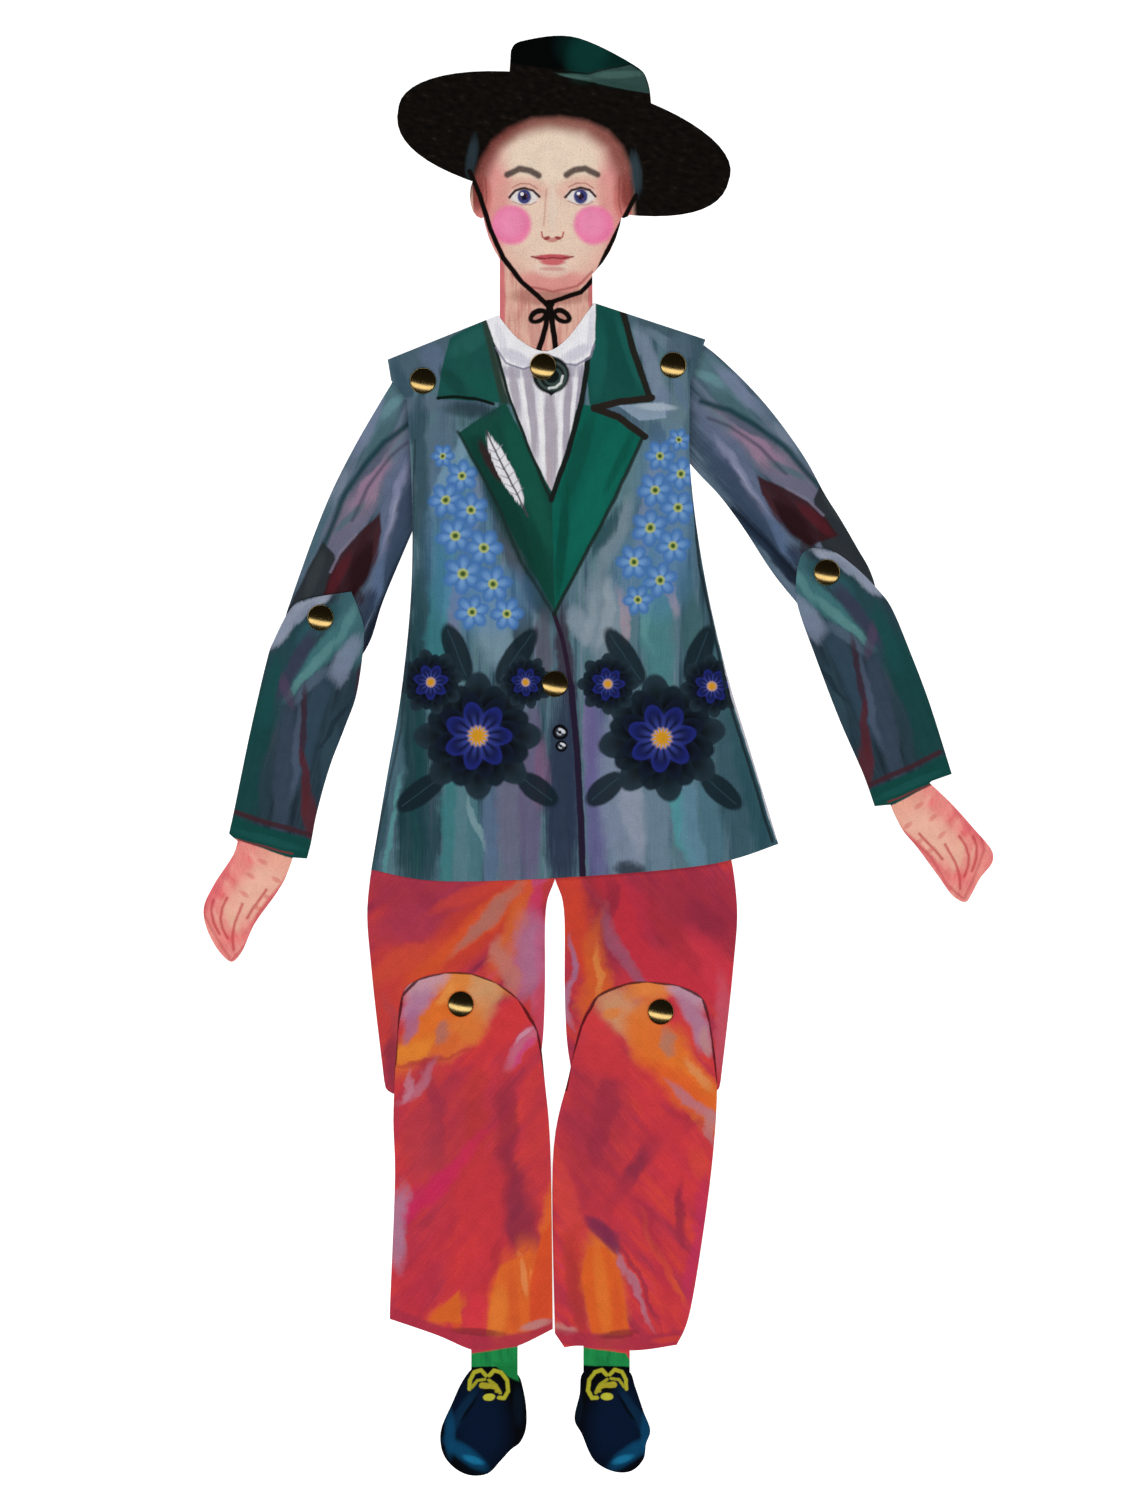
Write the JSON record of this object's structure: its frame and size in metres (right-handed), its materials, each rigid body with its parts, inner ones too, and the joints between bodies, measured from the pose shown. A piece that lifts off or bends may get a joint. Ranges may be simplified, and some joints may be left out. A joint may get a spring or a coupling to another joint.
{
  "type": "jointed paper puppet",
  "caption": "Flat jointed paper puppet of a standing figure in hat, jacket and trousers; painted cards turn on clinched brass paper fasteners.",
  "frame": {"origin": "under the middle of the whole puppet, on the surface that it lies on", "axes": "+Z out of the painted faces (the puppet lies face up), +Y from the shoes towards the hat, +X to the viewer's right; left and right in names are the viewer's"},
  "size_m": [0.1503, 0.2736, 0.0049],
  "materials": {
    "jacket_card": "watercolour and ink on matt card, white cut edges",
    "head_card": "watercolour and ink on matt card, white cut edges",
    "sleeve_card": "watercolour and ink on matt card, white cut edges",
    "trouser_card": "watercolour and ink on matt card, white cut edges",
    "brass": "polished stamped brass"
  },
  "bodies": {
    "torso": {"torso": "jacket_card", "fastener_cap_neck": "brass", "fastener_legs_neck": "brass", "fastener_cap_shoulder_left": "brass", "fastener_legs_shoulder_left": "brass", "fastener_cap_shoulder_right": "brass", "fastener_legs_shoulder_right": "brass", "fastener_cap_waist": "brass", "fastener_legs_waist": "brass"},
    "head": {"head": "head_card"},
    "upper_arm_left": {"upper_arm_left": "sleeve_card", "fastener_cap_elbow_left": "brass", "fastener_legs_elbow_left": "brass"},
    "forearm_left": {"forearm_left": "sleeve_card"},
    "thigh_left": {"thigh_left": "trouser_card", "fastener_cap_knee_left": "brass", "fastener_legs_knee_left": "brass"},
    "shin_left": {"shin_left": "trouser_card"},
    "upper_arm_right": {"upper_arm_right": "sleeve_card", "fastener_cap_elbow_right": "brass", "fastener_legs_elbow_right": "brass"},
    "forearm_right": {"forearm_right": "sleeve_card"},
    "thigh_right": {"thigh_right": "trouser_card", "fastener_cap_knee_right": "brass", "fastener_legs_knee_right": "brass"},
    "shin_right": {"shin_right": "trouser_card"}
  },
  "joints": [
    {"name": "neck", "type": "hinge", "parent": "torso", "child": "head", "pos_m": [-0.01081, 0.0739, 0.00342], "axis": [0, 0, 1], "range_deg": [-30, 30]},
    {"name": "shoulder_left", "type": "hinge", "parent": "torso", "child": "upper_arm_left", "pos_m": [-0.03358, 0.07116, 0.00202], "axis": [0, 0, -1], "range_deg": [-35, 160]},
    {"name": "elbow_left", "type": "hinge", "parent": "upper_arm_left", "child": "forearm_left", "pos_m": [-0.05312, 0.02623, 0.0008], "axis": [0, 0, -1], "range_deg": [-110, 130]},
    {"name": "hip_left", "type": "hinge", "parent": "torso", "child": "thigh_left", "pos_m": [-0.00852, 0.01362, 0.00325], "axis": [0, 0, -1], "range_deg": [-4, 60]},
    {"name": "knee_left", "type": "hinge", "parent": "thigh_left", "child": "shin_left", "pos_m": [-0.02642, -0.04718, 0.00307], "axis": [0, 0, -1], "range_deg": [-40, 110]},
    {"name": "shoulder_right", "type": "hinge", "parent": "torso", "child": "upper_arm_right", "pos_m": [0.01393, 0.07415, 0.00202], "axis": [0, 0, 1], "range_deg": [-35, 160]},
    {"name": "elbow_right", "type": "hinge", "parent": "upper_arm_right", "child": "forearm_right", "pos_m": [0.04321, 0.03486, 0.00062], "axis": [0, 0, 1], "range_deg": [-110, 130]},
    {"name": "hip_right", "type": "hinge", "parent": "torso", "child": "thigh_right", "pos_m": [-0.00852, 0.01362, 0.00272], "axis": [0, 0, 1], "range_deg": [-4, 60]},
    {"name": "knee_right", "type": "hinge", "parent": "thigh_right", "child": "shin_right", "pos_m": [0.01158, -0.04868, 0.00202], "axis": [0, 0, 1], "range_deg": [-40, 110]}
  ]
}
